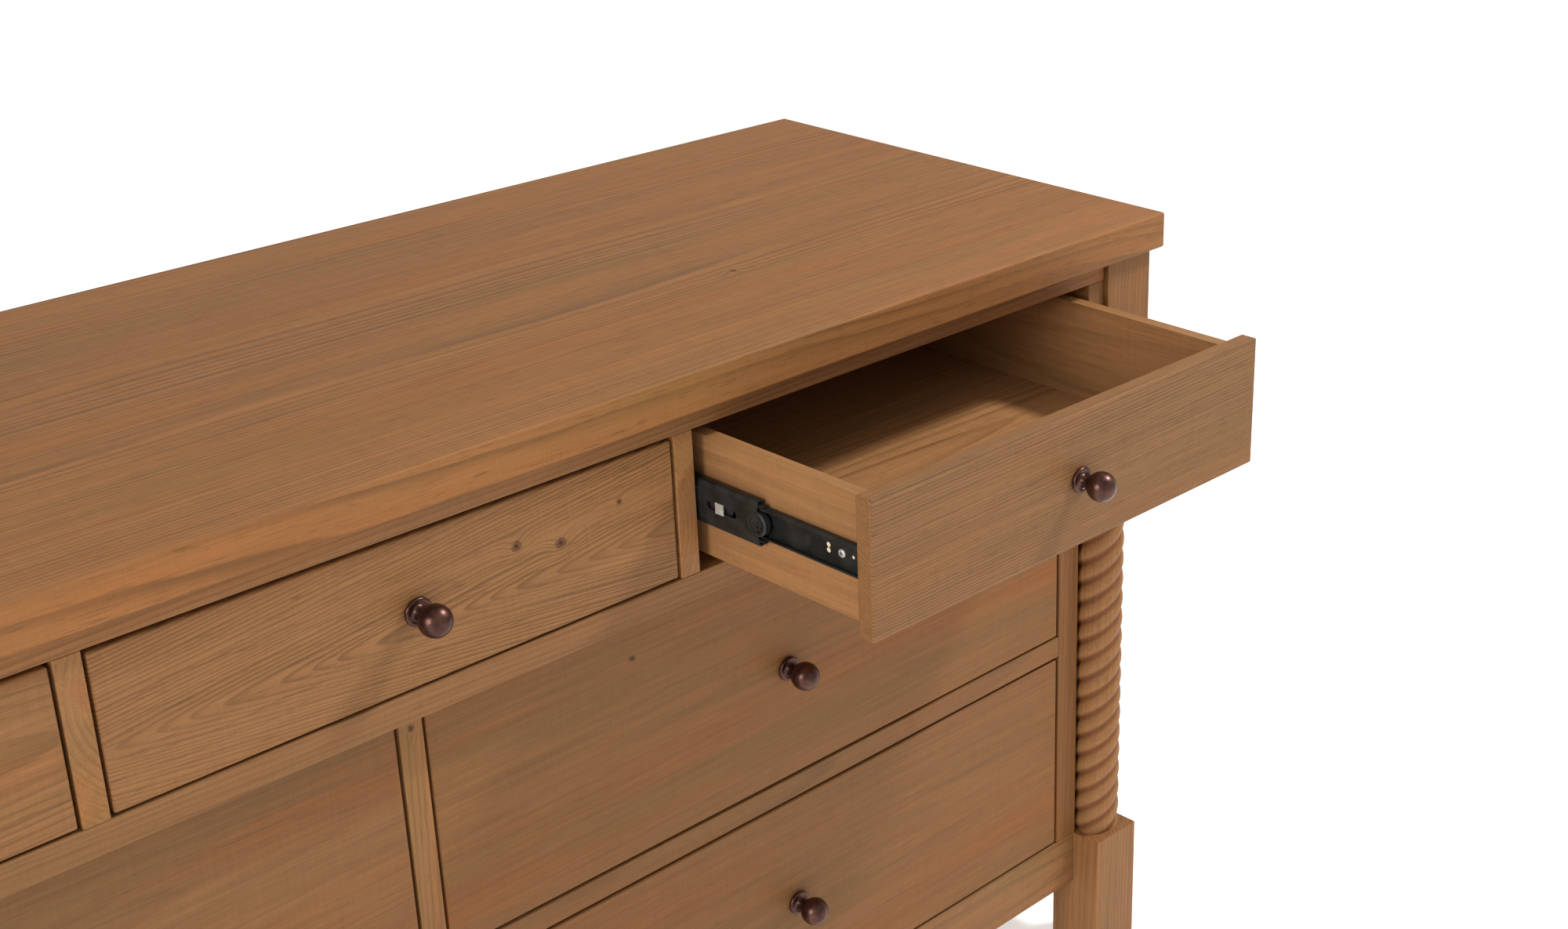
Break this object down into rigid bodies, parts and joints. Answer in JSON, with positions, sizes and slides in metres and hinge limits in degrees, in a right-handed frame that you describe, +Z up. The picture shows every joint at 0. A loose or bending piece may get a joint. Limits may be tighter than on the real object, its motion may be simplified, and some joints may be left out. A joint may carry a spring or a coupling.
{
  "type": "dresser with drawers",
  "caption": "Long low wooden dresser: small drawers over wide drawers on ball slides, round metal knobs, rope-twist corner columns, plain square legs.",
  "frame": {"origin": "on the floor, under the centre of the object as stored, with the right-hand top drawer pulled part of the way out", "axes": "+X to the right seen from the front, +Y from the front to the back, +Z up"},
  "size_m": [1.626, 0.7324, 0.805],
  "materials": {
    "case_wood": "satin stained pine",
    "front_wood": "satin stained pine",
    "drawer_wood": "satin sealed pine",
    "panel_wood": "satin sealed plywood",
    "bronze": "dark oil-rubbed bronze",
    "slide_steel": "black zinc-plated steel"
  },
  "bodies": {
    "carcass": {"back_panel": "panel_wood", "base_rail": "case_wood", "cabinet_slides": "slide_steel", "centre_stile": "case_wood", "corner_blocks": "case_wood", "corner_stiles": "case_wood", "decks": "drawer_wood", "front_legs": "case_wood", "lower_rails": "case_wood", "middle_rail": "case_wood", "partitions": "case_wood", "rear_posts": "case_wood", "side_panels": "case_wood", "slide_cleats": "drawer_wood", "top_board": "case_wood", "top_rail": "case_wood", "twist_column_left": "case_wood", "twist_column_right": "case_wood"},
    "top_left_drawer": {"top_left_bottom": "panel_wood", "top_left_box": "drawer_wood", "top_left_front": "front_wood", "top_left_knob": "bronze", "top_left_slides": "slide_steel"},
    "top_left_runner": {"top_left_mid_slides": "slide_steel"},
    "top_middle_drawer": {"top_middle_bottom": "panel_wood", "top_middle_box": "drawer_wood", "top_middle_front": "front_wood", "top_middle_knob": "bronze", "top_middle_slides": "slide_steel"},
    "top_middle_runner": {"top_middle_mid_slides": "slide_steel"},
    "top_right_drawer": {"top_right_bottom": "panel_wood", "top_right_box": "drawer_wood", "top_right_front": "front_wood", "top_right_knob": "bronze", "top_right_slides": "slide_steel"},
    "top_right_runner": {"top_right_mid_slides": "slide_steel"},
    "middle_left_drawer": {"middle_left_bottom": "panel_wood", "middle_left_box": "drawer_wood", "middle_left_front": "front_wood", "middle_left_knob": "bronze", "middle_left_slides": "slide_steel"},
    "middle_left_runner": {"middle_left_mid_slides": "slide_steel"},
    "middle_right_drawer": {"middle_right_bottom": "panel_wood", "middle_right_box": "drawer_wood", "middle_right_front": "front_wood", "middle_right_knob": "bronze", "middle_right_slides": "slide_steel"},
    "middle_right_runner": {"middle_right_mid_slides": "slide_steel"},
    "bottom_left_drawer": {"bottom_left_bottom": "panel_wood", "bottom_left_box": "drawer_wood", "bottom_left_front": "front_wood", "bottom_left_knob": "bronze", "bottom_left_slides": "slide_steel"},
    "bottom_left_runner": {"bottom_left_mid_slides": "slide_steel"},
    "bottom_right_drawer": {"bottom_right_bottom": "panel_wood", "bottom_right_box": "drawer_wood", "bottom_right_front": "front_wood", "bottom_right_knob": "bronze", "bottom_right_slides": "slide_steel"},
    "bottom_right_runner": {"bottom_right_mid_slides": "slide_steel"}
  },
  "joints": [
    {"name": "top_left_drawer_slide", "type": "slide", "parent": "carcass", "child": "top_left_drawer", "axis": [0, -1, 0], "range_m": [0, 0.36]},
    {"name": "top_left_runner_slide", "type": "slide", "parent": "carcass", "child": "top_left_runner", "axis": [0, -1, 0], "range_m": [0, 0.18]},
    {"name": "top_middle_drawer_slide", "type": "slide", "parent": "carcass", "child": "top_middle_drawer", "axis": [0, -1, 0], "range_m": [0, 0.36]},
    {"name": "top_middle_runner_slide", "type": "slide", "parent": "carcass", "child": "top_middle_runner", "axis": [0, -1, 0], "range_m": [0, 0.18]},
    {"name": "top_right_drawer_slide", "type": "slide", "parent": "carcass", "child": "top_right_drawer", "axis": [0, -1, 0], "range_m": [-0.192, 0.168]},
    {"name": "top_right_runner_slide", "type": "slide", "parent": "carcass", "child": "top_right_runner", "axis": [0, -1, 0], "range_m": [-0.096, 0.084]},
    {"name": "middle_left_drawer_slide", "type": "slide", "parent": "carcass", "child": "middle_left_drawer", "axis": [0, -1, 0], "range_m": [0, 0.36]},
    {"name": "middle_left_runner_slide", "type": "slide", "parent": "carcass", "child": "middle_left_runner", "axis": [0, -1, 0], "range_m": [0, 0.18]},
    {"name": "middle_right_drawer_slide", "type": "slide", "parent": "carcass", "child": "middle_right_drawer", "axis": [0, -1, 0], "range_m": [0, 0.36]},
    {"name": "middle_right_runner_slide", "type": "slide", "parent": "carcass", "child": "middle_right_runner", "axis": [0, -1, 0], "range_m": [0, 0.18]},
    {"name": "bottom_left_drawer_slide", "type": "slide", "parent": "carcass", "child": "bottom_left_drawer", "axis": [0, -1, 0], "range_m": [0, 0.36]},
    {"name": "bottom_left_runner_slide", "type": "slide", "parent": "carcass", "child": "bottom_left_runner", "axis": [0, -1, 0], "range_m": [0, 0.18]},
    {"name": "bottom_right_drawer_slide", "type": "slide", "parent": "carcass", "child": "bottom_right_drawer", "axis": [0, -1, 0], "range_m": [0, 0.36]},
    {"name": "bottom_right_runner_slide", "type": "slide", "parent": "carcass", "child": "bottom_right_runner", "axis": [0, -1, 0], "range_m": [0, 0.18]}
  ],
  "couplings": [
    {"joint": "top_left_runner_slide", "follows": "top_left_drawer_slide", "ratio": 0.5},
    {"joint": "top_middle_runner_slide", "follows": "top_middle_drawer_slide", "ratio": 0.5},
    {"joint": "top_right_runner_slide", "follows": "top_right_drawer_slide", "ratio": 0.5},
    {"joint": "middle_left_runner_slide", "follows": "middle_left_drawer_slide", "ratio": 0.5},
    {"joint": "middle_right_runner_slide", "follows": "middle_right_drawer_slide", "ratio": 0.5},
    {"joint": "bottom_left_runner_slide", "follows": "bottom_left_drawer_slide", "ratio": 0.5},
    {"joint": "bottom_right_runner_slide", "follows": "bottom_right_drawer_slide", "ratio": 0.5}
  ]
}
